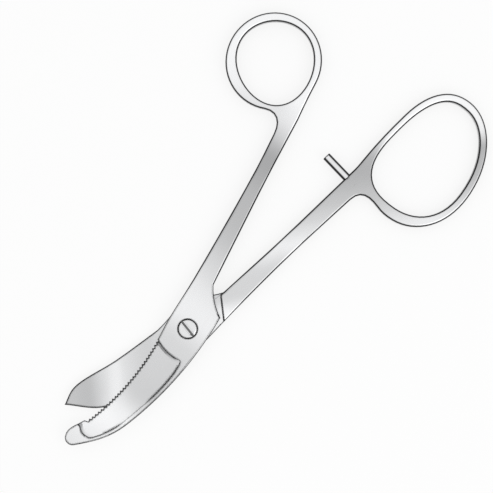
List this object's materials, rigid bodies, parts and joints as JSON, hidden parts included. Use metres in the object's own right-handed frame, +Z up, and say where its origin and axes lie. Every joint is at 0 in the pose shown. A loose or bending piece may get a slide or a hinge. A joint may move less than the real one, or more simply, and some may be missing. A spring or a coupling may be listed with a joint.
{
  "type": "plaster shears",
  "caption": "Plaster shears: a toothed, guard-tipped blade laps a plain blade on a slotted pivot screw, with a round thumb ring, a long finger ring and a stop pin.",
  "frame": {"origin": "on the pivot axis, at the flush lower end of the pivot screw, in the plane that the shears lie on", "axes": "+X towards the rings along the line that halves the angle between the shanks as stored, +Z up along the pivot screw towards its slotted head, +Y towards the thumb ring's side"},
  "size_m": [0.2342, 0.1297, 0.007],
  "materials": {
    "toothed_half": "satin polished stainless steel",
    "plain_half": "satin polished stainless steel",
    "pivot_screw": "polished stainless steel",
    "stop_pin": "polished stainless steel"
  },
  "bodies": {
    "plain_side": {"plain_half": "plain_half", "pivot_screw": "pivot_screw", "stop_pin": "stop_pin"},
    "toothed_side": {"toothed_half": "toothed_half"}
  },
  "joints": [
    {"name": "blade_pivot", "type": "hinge", "parent": "plain_side", "child": "toothed_side", "pos_m": [0, 0, 0.0033], "axis": [0, 0, 1], "range_deg": [-10.6, 60]}
  ]
}
